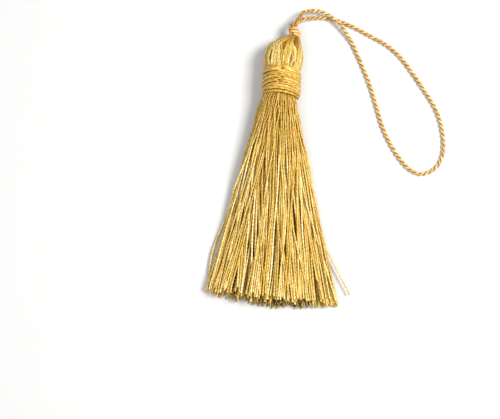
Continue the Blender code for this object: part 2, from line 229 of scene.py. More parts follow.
# Head: yarns laid over its core, from the binding to the knot
HEAD_COLUMNS = ("along", "centre_x", "centre_z", "half_width", "half_height")
HEAD_SECTIONS = (
    (3.6, 0.00, 7.0, 5.60, 5.60),
    (5.3, 0.00, 7.0, 5.90, 5.85),
    (5.9, 0.08, 7.0, 6.30, 6.20),
    (7.2, 0.10, 7.0, 6.80, 6.58),
    (9.3, 0.22, 7.0, 7.00, 6.75),
    (11.2, 0.50, 6.9, 6.66, 6.49),
    (12.9, 0.52, 6.8, 6.34, 5.95),
    (14.2, 0.75, 6.7, 5.80, 5.25),
    (15.2, 1.40, 6.5, 4.90, 4.55),
    (16.0, 2.10, 6.3, 4.00, 3.90),
    (16.7, 2.70, 6.1, 3.25, 3.20),
    (17.4, 3.15, 6.0, 2.55, 2.50),
    (18.0, 3.45, 6.0, 1.90, 1.90),
)
SLOPE_FADES_FROM = 5.9
SLOPE_FADES_BY = 10.0
HEAD_START = 3.6
HEAD_END = 18.0
HEAD_STEPS = 52
HEAD_SMOOTH_ROUNDS = 6
HEAD_YARNS = 74
HEAD_YARNS_FEWER = 4
HEAD_LAYERS = 3
HEAD_LAYER_DEPTH = 0.45
HEAD_YARN_RADIUS = 0.34
HEAD_YARN_SIZES = (0.94, 1.08)
HEAD_YARN_ACROSS = np.array((0.0, 0.01, 0.3))
HEAD_UNEVEN_ANGLES = (-0.3, 0.3)
HEAD_WANDER = 0.8
HEAD_WANDER_LENGTH = 14.0
NARROW_BELOW = 6.2
NARROW_YARN_SHARE = 0.72
YARN_GROUPS = 30
YARNS_IN_GROUP = 3
GROUP_RAISED = (0.08, 0.14)
GROUP_RAISED_LIMITS = (-0.12, 0.3)
YARN_RAISED = 0.05
THINNEST = 0.2
HEAD_TONES = (0.2, 0.85)
# Painted shade with some staining where the yarns gather under the knot: how dark, from where, and over what
# length
CROWN_SHADE_AND_STAIN = 1.1
CROWN_SHADE_AND_STAIN_FROM = 13.0
CROWN_SHADE_AND_STAIN_OVER = 5.0
SLITS_OPENED = (1.0, 0.9, 0.35)
# Painted shade on the head's lower layers of yarn
INNER_YARNS_PAINTED_SHADE = 0.55
HEAD_DIVE = 0.55
HEAD_DIVE_LENGTH = 2.6
HEAD_DIVES = ((1, 12.6), (2, 14.6), (4, 16.0))
CORE_START = -4.4
CORE_END = 17.6
CORE_STEPS = 40
CORE_DEEPER = 0.8
CORE_DEEPER_FROM = 11.0
CORE_DEEPER_OVER = 4.0
CORE_THINNEST = 0.5
CORE_TONE = 0.5
SLIT_COLUMNS = ("angle", "low", "high", "opens", "width")
SLITS = (
    (133.0, 5.4, 12.4, 5.4, 10.0),
    (97.0, 11.0, 15.8, 8.0, 13.0),
    (67.0, 6.2, 9.8, 4.8, 9.0),
    (55.0, 5.4, 8.0, 4.4, 9.0),
    (44.0, 11.8, 20.4, 22.0, 20.0),
    (118.0, 13.0, 18.0, 8.0, 12.0),
    (78.0, 13.6, 18.0, 3.0, 10.0),
)

# Neck binding: one family of wraps all round, and a second one laid slantwise over its left side
BINDING_RADIUS = 7.15
BINDING_HEIGHT = 7.0
BINDING_HALF = 4.95
BINDING_LIFT = 0.35
BINDING_LOWEST = 0.005
BINDING_THREAD = 0.52
BINDING_THREAD_SIZES = (0.96, 1.04)
BINDING_TONES = (0.25, 0.75)
BINDING_PITCH = 4.2
BINDING_WRAPS = 11
WRAP_TURNS = (-90.0, 270.0)
WRAP_STEPS = 131
WRAP_WAVES = ((1, 0.05), (3, 0.04))
WRAP_DEPTHS = (0.0, 0.14)
SLANTED_PAIRS = 6
PAIR_TURNS = (70.0, 228.0)
PAIR_STEPS = 72
PAIR_UNEVENNESS = 0.06
PAIR_DEPTHS = (0.0, 0.12)
PAIR_SPACING = 0.50
SLANTED_THREAD = 0.34
SLANT_MOST = 2.6
SLANT_LEAST = 0.5
SLANT_POWER = 0.8
SLANT_FROM = 204.0
SLANT_OVER = 118.0
EDGE_SINKS = 0.5
EDGE_SINK_POWER = 6
LOWER_SINK_SHARE = 1.5
BINDING_ARCH = 0.8
EDGE_ARCH_FLATTER = 0.25

# Where the two kinds of wraps pass over each other, in degrees around the neck, and how deep one goes under
MEETING = 88.0
MEETING_SPREAD = 13.0
WRAPS_UNDER_BEFORE = 5.0
WRAPS_UNDER_OVER = 22.0
WRAPS_UNDER_UNTIL = 214.0
WRAPS_OUT_OVER = 16.0
WRAPS_UNDER_BELOW = 0.5
WRAPS_UNDER_SOFTLY = 0.8
PAIRS_UNDER_BEFORE = 8.0
PAIRS_UNDER_OVER = 20.0
PAIRS_UNDER_FROM = 222.0
PAIRS_OUT_OVER = 14.0
UNDER_DEPTH = 1.05
PAIR_DEPTH_SHARE = 1.5
# Painted shade on the wraps where the slanted pairs lie over them
WRAPS_UNDER_PAINTED_SHADE = 1.45
# Painted shade on the lowest wrap
LOWEST_WRAP_PAINTED_SHADE = 0.45

# Colours, as linear values
GOLD = (0.84, 0.645, 0.225)
GOLD_DEEP = (0.64, 0.41, 0.058)
GOLD_PALE = (0.90, 0.80, 0.46)
# Painted shade: the head's yarn is the skirt's silk, made a little darker
HEAD_SHADED_GOLD = (0.74, 0.56, 0.175)
HEAD_SHADED_DEEP = (0.58, 0.36, 0.040)
HEAD_SHADED_PALE = (0.85, 0.71, 0.37)
TIP_GOLD = (0.80, 0.53, 0.10)
BINDING_GOLD = (0.66, 0.42, 0.078)
BINDING_DEEP = (0.52, 0.28, 0.026)
BINDING_PALE = (0.82, 0.61, 0.18)
CORD_GOLD = (0.71, 0.485, 0.20)
CORD_DEEP = (0.52, 0.30, 0.075)
CORD_PALE = (0.86, 0.64, 0.32)
# Painted shade: the core's yarn is coloured dark brown, as if in shadow
CORE_SHADE_GOLD = (0.31, 0.16, 0.015)
CORE_SHADE_DEEP = (0.22, 0.115, 0.009)
CORE_SHADE_PALE = (0.37, 0.21, 0.030)
SHADE = (0.60, 0.43, 0.14)

# Silk's fine structure: how fine the noises are across and along a thread, and the colours that they give,
# which are painted sheen streaks and painted glints
NOISE_SPAN = (0.3, 0.7)
SPECKLE_SPAN = (0.35, 0.65)
FILAMENTS = (9.0, 9.0, 0.45)
FILAMENT_SHEEN_COLOURS = ((0.72, 0.66, 0.55), (1.0, 1.0, 1.0), (1.08, 1.1, 1.14))
FILAMENT_SHEEN_SHARE = 0.65
SPECKLES = (2.2, 2.2, 1.5)
SPECKLE_GLINT_COLOURS = ((0.62, 0.52, 0.34), (1.18, 1.18, 1.25))
SPECKLE_GLINT_SHARE = 0.8
SLOW_TONES = (0.4, 0.4, 0.16)
SLOW_SPAN = (0.1, 0.9)
TONE_REACH = 0.62
ROUGHER = 0.12
SMOOTHER = 0.10
BUMP_DEPTH = 0.04
FILAMENT_BUMP = 0.6
SPECKLE_BUMP = 0.8
SPECKLE_DEPTH_SHARE = 1.2
SILK_SURFACE = {
    "IOR": 1.55,
    "Specular IOR Level": 0.6,
    "Specular Tint": (1.0, 0.90, 0.66, 1.0),
    "Sheen Weight": 0.06,
    "Sheen Roughness": 0.35,
    "Sheen Tint": (1.0, 0.88, 0.62, 1.0),
}

# Sockets of the mix node when it mixes colours
MIX_SHARE = 0
MIX_FIRST = 6
MIX_SECOND = 7
MIX_RESULT = 2

# Floor and light, in metres and watts
FLOOR_COLOUR = (0.62, 0.62, 0.62)
FLOOR_REACH = 3.0
FLOOR_DROP = 0.00002
FLOOR_GRAIN = 60.0
FLOOR_DARKEST_SHARE = 0.985
FLOOR_ROUGHNESS = 0.9
LAMP_TARGET = np.array((0.012, -0.025, 0.0))
LAMPS = (
    {"name": "key", "place": (0.35, 0.05, 0.60), "size": 0.26, "power": 5.9},
    {"name": "fill", "place": (-0.20, -0.18, 0.66), "size": 0.50, "power": 2.2},
)
STUDIO_COLOUR = (1.0, 0.99, 0.97, 1.0)
STUDIO_STRENGTH = 0.40

chance = np.random.default_rng(SEED)
crossing_chance = np.random.default_rng(CROSSING_SEED)


def make_camera():
    """The camera looks down on the tassel, tilted towards its head."""
    data = bpy.data.cameras.new("camera")
    data.lens = CAMERA_LENS
    data.clip_end = CAMERA_SEES_METRES
    camera = bpy.data.objects.new("camera", data)
    turned = Matrix.Rotation(CAMERA_TURN, 4, "Z") @ Matrix.Rotation(CAMERA_TILT, 4, "X")
    place = Matrix.Translation([METRES_IN_MM * part for part in CAMERA_PLACE])
    camera.matrix_world = place @ turned
    bpy.context.scene.collection.objects.link(camera)
    bpy.context.scene.camera = camera


def column(columns, table, name):
    return np.array([row[columns.index(name)] for row in table])


def between(columns, table, name, places):
    """A column of a table at places along the tassel, on straight lines between its rows."""
    along = column(columns, table, "along")
    values = column(columns, table, name)
    order = np.argsort(along)
    return np.interp(places, along[order], values[order])


def eased(values):
    """From 0 to 1 with soft ends."""
    held = np.clip(values, 0.0, 1.0)
    return held * held * (3.0 - 2.0 * held)


def curve_through(values, places):
    """Values at fractional places between stations (along the last axis), on Catmull-Rom curves."""
    start_pad = 2 * values[:, :1] - values[:, 1:2]
    end_pad = 2 * values[:, -1:] - values[:, -2:-1]
    padded = np.concatenate([start_pad, values, end_pad], 1)
    first = np.clip(np.floor(places).astype(int), 0, values.shape[1] - 2)
    t = places - first
    before, start, end, after = (np.take_along_axis(padded, first + step, 1) for step in range(4))
    return (
        start * (2 * t ** 3 - 3 * t ** 2 + 1) + (end - before) / 2 * (t ** 3 - 2 * t ** 2 + t)
        + end * (3 * t ** 2 - 2 * t ** 3) + (after - start) / 2 * (t ** 3 - t ** 2)
    )


def lengths_along(lines):
    """Distance from each line's start to each of its points."""
    steps = np.linalg.norm(np.diff(lines, axis=1), axis=2)
    return np.concatenate([np.zeros((len(lines), 1)), np.cumsum(steps, axis=1)], 1)


def evenly_along(line, count):
    """One line resampled at even distances."""
    lengths = lengths_along(line[None])[0]
    places = np.linspace(0.0, lengths[-1], count)
    return np.stack([np.interp(places, lengths, line[:, axis]) for axis in range(3)], 1)


def smooth_line(points, count):
    """A smooth curve through chosen points, as count points at even distances."""
    points = np.array(points)
    places = np.linspace(0.0, len(points) - 1.0, FINE_POINTS * len(points))
    fine = np.stack([curve_through(points[None, :, axis], places[None])[0] for axis in range(3)], 1)
    return evenly_along(fine, count)


def directions(lines, reference):
    """The side and raised directions across each line at each of its points."""
    ahead = np.gradient(lines, axis=1)
    side = np.cross(ahead, reference)
    side /= np.linalg.norm(side, axis=2, keepdims=True)
    raised = np.cross(side, ahead)
    raised /= np.linalg.norm(raised, axis=2, keepdims=True)
    return side, raised


def two_ply_section():
    """Angle and reach of a thread of two plies: a crest of three points for each, and the grooves."""
    half = [
        (-CREST_HALF_ANGLE, CREST_SIDE_REACH), (0.0, 1.0), (CREST_HALF_ANGLE, CREST_SIDE_REACH),
        (math.pi / 2, GROOVE_REACH),
    ]
    return half + [(angle + math.pi, reach) for angle, reach in half]


def ribbed_section(count, ribs, depth):
    """Angle and reach of a round yarn with low ribs of filaments."""
    angles = [2 * math.pi * number / count for number in range(count)]
    return [(angle, 1.0 - depth * (0.5 - 0.5 * math.cos(ribs * angle))) for angle in angles]


def thread_points(lines, radii, section, pitch, reference, phases):
    """The points of threads' surfaces, and the place on each thread for its material."""
    side, raised = directions(lines, reference)
    lengths = lengths_along(lines)
    turned = 2 * math.pi * lengths / np.reshape(pitch, (-1, 1)) + phases[:, None]
    angles = np.array([angle for angle, _ in section])
    reaches = np.array([reach for _, reach in section])
    total = turned[:, :, None] + angles
    reach = radii[:, :, None] * reaches
    across = (reach * np.cos(total))[..., None] * side[:, :, None, :]
    upward = (reach * np.sin(total))[..., None] * raised[:, :, None, :]
    points = lines[:, :, None, :] + across + upward
    spread = np.broadcast_to(lengths[:, :, None] + PHASE_SHIFTS_NOISE * phases[:, None, None], total.shape)
    places = np.stack([np.cos(total) * STRAND_RADIUS, np.sin(total) * STRAND_RADIUS, spread], -1)
    return points, places


def with_groove_shade(tones, section):
    """Tones for each point around a thread, with painted shade in its section's grooves."""
    reaches = np.array([reach for _, reach in section])
    return tones[..., None] - GROOVE_PAINTED_SHADE * (1.0 - reaches) / (1.0 - reaches.min())


def between_plies(points, line):
    """1 in the groove between a cord's two plies, and 0 on their outsides: where painted shade goes."""
    reach = PLY_OFFSET + PLY_RADIUS
    from_middle = np.linalg.norm(points - line[None, :, None, :], axis=3)
    return eased((PLIES_MEET_AT * reach - from_middle) / (PLIES_MEET_OVER * reach))


def threads_mesh(name, groups):
    """One mesh of many threads. A group is the points and places of thread_points, tones and tips.

    Tones and tips are tables with a row for each thread and a column for each step. Tones may have
    one column instead, or a third side for the points around a thread.
    """
    corners, starts, loops, tones, tips, places = [], [], [], [], [], []
    made = 0
    for points, place, tone, tip in groups:
        count, steps, around = points.shape[:3]
        corners.append(points.reshape(-1, 3))
        places.append(place.reshape(-1, 3))
        tone = tone if tone.ndim == 3 else tone[..., None]
        tones.append(np.broadcast_to(tone, (count, steps, around)).reshape(-1))
        tips.append(np.repeat(tip.reshape(-1), around))
        number = made + np.arange(count * steps * around).reshape(count, steps, around)
        near, far = number[:, :-1], number[:, 1:]
        quads = np.stack([near, np.roll(near, -1, 2), np.roll(far, -1, 2), far], -1).reshape(-1, 4)
        loops.append(quads.ravel())
        starts.append(np.full(len(quads), 4))
        caps = np.concatenate([number[:, 0, ::-1], number[:, -1]])
        loops.append(caps.ravel())
        starts.append(np.full(len(caps), around))
        made += count * steps * around
    sizes = np.concatenate(starts)
    loops = np.concatenate(loops)
    mesh = bpy.data.meshes.new(name)
    mesh.vertices.add(made)
    mesh.vertices.foreach_set("co", (np.concatenate(corners) * METRES_IN_MM).ravel())
    mesh.loops.add(len(loops))
    mesh.loops.foreach_set("vertex_index", loops)
    mesh.polygons.add(len(sizes))
    mesh.polygons.foreach_set("loop_start", np.concatenate([[0], np.cumsum(sizes)[:-1]]))
    mesh.polygons.foreach_set("use_smooth", np.ones(len(sizes), bool))
    for kind, label, field, values in (
        ("FLOAT", "tone", "value", tones), ("FLOAT", "tip", "value", tips),
        ("FLOAT_VECTOR", "thread", "vector", places),
    ):
        mesh.attributes.new(label, kind, "POINT").data.foreach_set(field, np.concatenate(values).ravel())
    mesh.update(calc_edges=True)
    mesh.validate()
    return mesh


def new_piece(name, groups, material, slot, *nodes):
    """A finished piece of threads that rides on the tassel's body and stands for CAD nodes."""
    piece = bpy.data.objects.new(name, threads_mesh(name, groups))
    piece.data.materials.append(material)
    bpy.context.scene.collection.objects.link(piece)
    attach(piece, "root")
    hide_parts(*nodes)
    return piece


class Nodes:
    """A material's node tree, with short calls to add and join nodes."""

    def __init__(self, name):
        self.material = bpy.data.materials.new(name)
        self.material.use_nodes = True
        self.tree = self.material.node_tree
        self.shader = self.tree.nodes["Principled BSDF"]

    def add(self, kind, **settings):
        node = self.tree.nodes.new(kind)
        for key, value in settings.items():
            setattr(node, key, value)
        return node

    def join(self, source, target):
        self.tree.links.new(source, target)

    def attribute(self, name, output):
        return self.add("ShaderNodeAttribute", attribute_name=name).outputs[output]

    def noise(self, vector, stretch, scale, detail=2.0):
        """Noise on a vector stretched along its three parts."""
        stretched = self.add("ShaderNodeVectorMath", operation="MULTIPLY")
        self.join(vector, stretched.inputs[0])
        stretched.inputs[1].default_value = stretch
        noise = self.add("ShaderNodeTexNoise")
        self.join(stretched.outputs[0], noise.inputs["Vector"])
        noise.inputs["Scale"].default_value = scale
        noise.inputs["Detail"].default_value = detail
        return noise.outputs["Fac"]

    def span(self, value, low, high, from_low=0.0, from_high=1.0):
        """A value mapped from one span to another."""
        node = self.add("ShaderNodeMapRange")
        self.join(value, node.inputs["Value"])
        limits = (("From Min", from_low), ("From Max", from_high), ("To Min", low), ("To Max", high))
        for key, number in limits:
            node.inputs[key].default_value = number
        return node.outputs["Result"]

    def ramp(self, value, colours):
        """A ramp with the colours at even places."""
        node = self.add("ShaderNodeValToRGB")
        self.join(value, node.inputs["Fac"])
        stops = node.color_ramp.elements
        stops[0].position, stops[1].position = 0.0, 1.0
        stops[0].color, stops[1].color = (*colours[0], 1.0), (*colours[-1], 1.0)
        for number, colour in enumerate(colours[1:-1], 1):
            stops.new(number / (len(colours) - 1)).color = (*colour, 1.0)
        return node.outputs["Color"]

    def mixed(self, share, first, second, kind="MIX"):
        """Two colours mixed. Either may be a plain colour."""
        node = self.add("ShaderNodeMix", data_type="RGBA", blend_type=kind)
        for socket, value in ((MIX_SHARE, share), (MIX_FIRST, first), (MIX_SECOND, second)):
            if isinstance(value, (float, tuple)):
                node.inputs[socket].default_value = (*value, 1.0) if isinstance(value, tuple) else value
            else:
                self.join(value, node.inputs[socket])
        return node.outputs[MIX_RESULT]

    def bump(self, height, strength, distance, normal=None):
        node = self.add("ShaderNodeBump")
        self.join(height, node.inputs["Height"])
        node.inputs["Strength"].default_value = strength
        node.inputs["Distance"].default_value = distance * METRES_IN_MM
        if normal:
            self.join(normal, node.inputs["Normal"])
        return node.outputs["Normal"]


def silk(name, colours, roughness, bump_depth=BUMP_DEPTH):
    """Silk thread: each has its own tone between deep, middle and pale, with painted shade below zero tone;
    painted sheen streaks and painted glints lie over it, and filaments catch the light.
    """
    nodes = Nodes(name)
    thread = nodes.attribute("thread", "Vector")
    tone = nodes.attribute("tone", "Fac")
    filaments = nodes.noise(thread, FILAMENTS, 1.0)
    slow = nodes.noise(thread, SLOW_TONES, 1.0, 1.0)
    speckle = nodes.noise(thread, SPECKLES, 1.0)
    mix = nodes.add("ShaderNodeMath", operation="ADD")
    nodes.join(nodes.span(tone, -TONE_REACH, TONE_REACH), mix.inputs[0])
    nodes.join(nodes.span(slow, *SLOW_SPAN, *NOISE_SPAN), mix.inputs[1])
    colour = nodes.ramp(mix.outputs[0], colours)
    # Painted shade: tones below zero multiply the colour towards SHADE
    colour = nodes.mixed(nodes.span(tone, 1.0, 0.0, -1.0, 0.0), colour, SHADE, "MULTIPLY")
    # Painted sheen: paler and darker streaks along the filaments
    fine = nodes.ramp(nodes.span(filaments, 0.0, 1.0, *NOISE_SPAN), FILAMENT_SHEEN_COLOURS)
    colour = nodes.mixed(FILAMENT_SHEEN_SHARE, colour, fine, "MULTIPLY")
    # Painted glints: bright and dark speckles
    painted_glints = nodes.ramp(nodes.span(speckle, 0.0, 1.0, *SPECKLE_SPAN), SPECKLE_GLINT_COLOURS)
    colour = nodes.mixed(SPECKLE_GLINT_SHARE, colour, painted_glints, "MULTIPLY")
    colour = nodes.mixed(nodes.attribute("tip", "Fac"), colour, TIP_GOLD)
    nodes.join(colour, nodes.shader.inputs["Base Color"])
    rough = nodes.span(filaments, roughness + ROUGHER, roughness - SMOOTHER, *NOISE_SPAN)
    nodes.join(rough, nodes.shader.inputs["Roughness"])
    for key, value in SILK_SURFACE.items():
        nodes.shader.inputs[key].default_value = value
    speckled = nodes.bump(speckle, SPECKLE_BUMP, SPECKLE_DEPTH_SHARE * bump_depth)
    uneven = nodes.bump(filaments, FILAMENT_BUMP, bump_depth, speckled)
    nodes.join(uneven, nodes.shader.inputs["Normal"])
    return nodes.material


def make_cord(material):
    """The hanging loop: two plies around the route, each a ribbed yarn twisted the other way."""
    length = lengths_along(smooth_line(CORD_ROUTE, CORD_MEASURED_POINTS)[None])[0, -1]
    steps = round(length / CORD_PITCH * CORD_STEPS_IN_PITCH)
    route = smooth_line(CORD_ROUTE, steps + 1)
    side, raised = directions(route[None], UP)
    lengths = lengths_along(route[None])[0]
    plies = []
    for phase in (0.0, math.pi):
        turned = 2 * math.pi * lengths / CORD_PITCH + phase
        outward = np.cos(turned)[:, None] * side[0] + np.sin(turned)[:, None] * raised[0]
        plies.append(route + PLY_OFFSET * outward)
    lines = np.array(plies)
    radii = np.full(lines.shape[:2], PLY_RADIUS)
    phases = chance.uniform(0, 2 * math.pi, 2)
    points, places = thread_points(lines, radii, ribbed_section(*PLY_RIBS), PLY_PITCH, UP, phases)
    points[..., 2] = np.maximum(points[..., 2], LOWEST)
    from_knot = np.minimum(lengths, lengths[-1] - lengths)
    # Painted shade on the cord near the knot
    tones = np.array(PLY_TONES)[:, None] - CORD_PAINTED_SHADE * np.exp(-(from_knot / CORD_PAINTED_SHADE_OVER) ** 2)
    # Painted shade in the groove between the plies
    tones = tones[..., None] - PLY_GROOVE_PAINTED_SHADE * between_plies(points, route)
    group = (points, places, tones, np.zeros(lines.shape[:2]))
    loop = new_piece("cord_loop", [group], material, "loop_silk", "hanging_loop")


def cord_group(points, count, share, tone):
    """A short stretch of the same cord through chosen points."""
    line = smooth_line(points, count)
    side, raised = directions(line[None], KNOT_PLIES_ACROSS)
    lengths = lengths_along(line[None])[0]
    plies = []
    for phase in (0.0, math.pi):
        turned = 2 * math.pi * lengths / (CORD_PITCH * share) + phase
        outward = np.cos(turned)[:, None] * side[0] + np.sin(turned)[:, None] * raised[0]
        plies.append(line + PLY_OFFSET * share * outward)
    lines = np.array(plies)
    radii = np.full(lines.shape[:2], PLY_RADIUS * share)
    phases = chance.uniform(0, 2 * math.pi, 2)
    section = ribbed_section(*PLY_RIBS)
    points, places = thread_points(lines, radii, section, PLY_PITCH, KNOT_YARN_ACROSS, phases)
    # Painted shade in the groove between the plies
    tones = tone - KNOT_PLY_GROOVE_PAINTED_SHADE * between_plies(points, line)
    return points, places, tones, np.zeros(lines.shape[:2])


def make_knot(material):
    """One leg runs down the left side into the head. The other winds around it, with a nub at the right."""
    groups = []
    # Each stretch has its own tone, which is painted light and shade
    for entering, points, steps, tone in (
        (CORD_ROUTE[1::-1], KNOT_UPRIGHT, KNOT_UPRIGHT_STEPS, KNOT_UPRIGHT_SHADED_TONE),
        (CORD_ROUTE[-2:], KNOT_WRAP, KNOT_WRAP_STEPS, KNOT_WRAP_LIT_TONE),
        ((), KNOT_INSIDE, KNOT_INSIDE_STEPS, KNOT_INSIDE_SHADED_TONE),
    ):
        groups.append(cord_group(entering + points, steps, KNOT_CORD_SHARE, tone))
    new_piece("knot", groups, material, "knot_silk", "cord_knot")


def sunflower(count):
    """Places spread evenly over a disc of radius 1."""
    number = np.arange(count) + 0.5
    radius = np.sqrt(number / count)
    angle = number * math.pi * (3.0 - math.sqrt(5.0))
    return radius * np.cos(angle), radius * np.sin(angle)


def row_reach(up, settled):
    """How far a row of strands reaches to each side. Settled, the lower rows lie inside each other."""
    chord = np.sqrt(1 - up * up)
    on_surface = np.where(up < 0, 1 + 2 * np.arcsin(up) / math.pi, chord)
    return chord + settled * (on_surface - chord)


def skirt_places(across, up, along, drift):
    """x and height of strands at stations along the skirt, from their places in the neck and a drift."""
    values = {name: between(SKIRT_COLUMNS, SKIRT_SECTIONS, name, along)[None] for name in SKIRT_COLUMNS}
    drawn = chance.standard_t(DRIFT_FREEDOM, (2, len(up), 1)).clip(-DRIFT_LIMIT, DRIFT_LIMIT)
    drifted = DRIFT_SCALE * drift * drawn * np.clip((FREE_FROM - along) / DRIFT_OVER, 0.0, DRIFT_MOST)
    across = np.clip(across[:, None] + drifted[0], -1.0, 1.0)
    up = np.clip(up[:, None] + DRIFT_UP_SHARE * drifted[1], -HIGHEST_PLACE, HIGHEST_PLACE)
    side = across * row_reach(up, values["settled"])
    side = side * (1.0 + EDGE_CROWDING * values["settled"] * (1.0 - abs(side)))
    moved = side
    for share, waves, phase in LOCK_WAVES:
        moved = moved + values["locks"] * share * np.sin(math.pi * waves * side + phase) / (math.pi * waves)
    x = values["centre_x"] + values["half_width"] * moved
    arch = 1 - values["settled"] * (1 - np.sqrt(1 - across ** 2 * (1 - up ** 2)))
    return x, values["lift"] + values["height"] * (up + arch) / 2


def wander(count, along, reach):
    """Smooth sideways wandering that grows from nothing at the neck."""
    total = np.zeros((count, len(along)))
    for length in WANDER_LENGTHS:
        phase = chance.uniform(0, 2 * math.pi, (count, 1))
        size = chance.normal(0.0, 1.0, (count, 1)) / math.sqrt(len(WANDER_LENGTHS))
        total += size * np.sin(2 * math.pi * along / length + phase)
    return reach * total * eased((FREE_FROM - along) / WANDER_OVER)


def wander_at_neck(count, along):
    """The close waves of yarn that has just left the binding."""
    total = np.zeros((count, len(along)))
    for length in NECK_WANDER_LENGTHS:
        phase = chance.uniform(0, 2 * math.pi, (count, 1))
        total += chance.normal(0.0, 1.0, (count, 1)) * np.sin(2 * math.pi * along / length + phase)
    return NECK_WANDER * total * np.exp(-((along - NECK_WANDER_AT) / NECK_WANDER_OVER) ** 2)


def settle(x, z, radii):
    """Push apart strands that overlap at a station, smoothly along them, and keep them above the surface."""
    moved_x = np.zeros_like(x)
    moved_z = np.zeros_like(z)
    for _ in range(SETTLE_ROUNDS):
        off_x = (x + moved_x).T[:, :, None] - (x + moved_x).T[:, None, :]
        off_z = (z + moved_z).T[:, :, None] - (z + moved_z).T[:, None, :]
        distance = np.hypot(off_x, off_z) + LEAST_DISTANCE
        push = np.maximum(0.0, 2 * radii[:, None, None] - distance) / distance
        for moved, off in ((moved_x, off_x), (moved_z, off_z)):
            moved += SETTLE_PUSH * (off * push).sum(2).T
            moved[:, 1:-1] += SETTLE_SMOOTHING * (moved[:, 2:] + moved[:, :-2] - 2 * moved[:, 1:-1])
        moved_z = np.maximum(moved_z, radii - z)
    for _ in range(SMOOTH_ROUNDS):
        for moved in (moved_x, moved_z):
            moved[:, 1:-1] += SMOOTHING * (moved[:, 2:] + moved[:, :-2] - 2 * moved[:, 1:-1])
    return x + moved_x, np.maximum(z + moved_z, radii)


def cross_over(x, z, up, along, draws):
    """Some strands of the top leave their neighbours and lie slantwise over the others."""
    values = {name: between(SKIRT_COLUMNS, SKIRT_SECTIONS, name, along)[None] for name in SKIRT_COLUMNS}
    chosen = draws.choice(np.flatnonzero(up > TOP_STRANDS_FROM), CROSSING_STRANDS, replace=False)
    starts = draws.uniform(*CROSSING_STARTS, (CROSSING_STRANDS, 1))
    ways = draws.choice((-1.0, 1.0), (CROSSING_STRANDS, 1))
    slopes = ways * draws.uniform(*CROSSING_SLOPES, (CROSSING_STRANDS, 1))
    aside = np.hypot(np.maximum(0.0, starts - along), CROSSING_BEND) - CROSSING_BEND
    side = (x[chosen] + slopes * aside - values["centre_x"]) / values["half_width"]
    side = np.clip(side, -CROSSING_EDGE, CROSSING_EDGE)
    level = np.sqrt(1.0 - side ** 2)
    top = values["lift"] + values["height"] * (level + 1.0 - values["settled"] * (1.0 - level)) / 2
    share = eased((starts - along) / CROSSING_RISES_OVER)
    x[chosen] = values["centre_x"] + values["half_width"] * side
    z[chosen] += share * (top + CROSSING_LIFT - z[chosen])
    return x, z


def strand_ends(x_at_hem, z_at_hem, up):
    """Where the strands are cut: on a shallow arc, the upper ones sooner, and a few much sooner."""
    aside = x_at_hem - FAN_CENTRE_X
    ends = FAN_CENTRE_Y - np.sqrt(FAN_RADIUS ** 2 - aside ** 2)
    ends += UPPER_STRANDS_SHORTER * z_at_hem / z_at_hem.max()
    ends += END_UNEVENNESS * chance.normal(0.0, 1.0, len(up)).clip(-END_UNEVEN_LIMIT, END_UNEVEN_LIMIT)
    short = chance.choice(np.flatnonzero(up > TOP_STRANDS_FROM), SHORT_STRANDS, replace=False)
    ends[short] += chance.uniform(*SHORTER_BY, SHORT_STRANDS)
    return ends


def skirt_lines(steps):
    """The strands' lines, from inside the binding to their cut ends."""
    place_x, up = sunflower(STRANDS)
    across = place_x / np.sqrt(1 - up ** 2)
    along = np.arange(STRANDS_START, STATIONS_END, -STATION_SPACING)
    x, z = skirt_places(across, up, along, STRAND_DRIFT)
    bunch_x, bunch_up = sunflower(BUNCHES)
    nearest = np.argmin(np.hypot(place_x[:, None] - bunch_x, up[:, None] - bunch_up), axis=1)
    centre_x, centre_z = skirt_places(bunch_x / np.sqrt(1 - bunch_up ** 2), bunch_up, along, BUNCH_DRIFT)
    drawn = BUNCHED * np.clip((BUNCHED_FROM - along) / BUNCHED_OVER, 0.0, 1.0)
    x = x + drawn * (centre_x[nearest] - x) + wander(BUNCHES, along, BUNCH_WANDER)[nearest]
    z = z + drawn * (centre_z[nearest] - z) + wander(BUNCHES, along, BUNCH_LIFT)[nearest]
    x = x + wander(STRANDS, along, STRAND_WANDER) + wander_at_neck(STRANDS, along)
    z = z + wander(STRANDS, along, STRAND_LIFT)
    for draws in (chance, crossing_chance):
        x, z = cross_over(x, z, up, along, draws)
    radii = STRAND_RADIUS * between(SKIRT_COLUMNS, SKIRT_SECTIONS, "squeezed", along)
    x, z = settle(x, z, radii)
    hem = np.argmin(abs(along - HEM))
    ends = strand_ends(x[:, hem], z[:, hem], up)
    left, right = np.argmin(x[:, STRAY_STATION]), np.argmax(x[:, STRAY_STATION])
    for number, stray, way in ((left, STRAY_LEFT, -1.0), (right, STRAY_RIGHT, 1.0)):
        x[number] += way * between(STRAY_COLUMNS, stray, "out", along)
        ends[number] = column(STRAY_COLUMNS, stray, "along").min()
    lines = []
    for number in range(STRANDS):
        y = np.linspace(along[0], ends[number], steps)
        place = (along[0] - y) / STATION_SPACING
        line_x = curve_through(x[number:number + 1], place[None])[0]
        line_z = curve_through(z[number:number + 1], place[None])[0]
        y = y - BINDING_SLOPE * between(SKIRT_COLUMNS, SKIRT_SECTIONS, "slope", y) * line_x
        lines.append(np.stack([line_x, y, line_z], 1))
    return np.array(lines), place_x, up, nearest


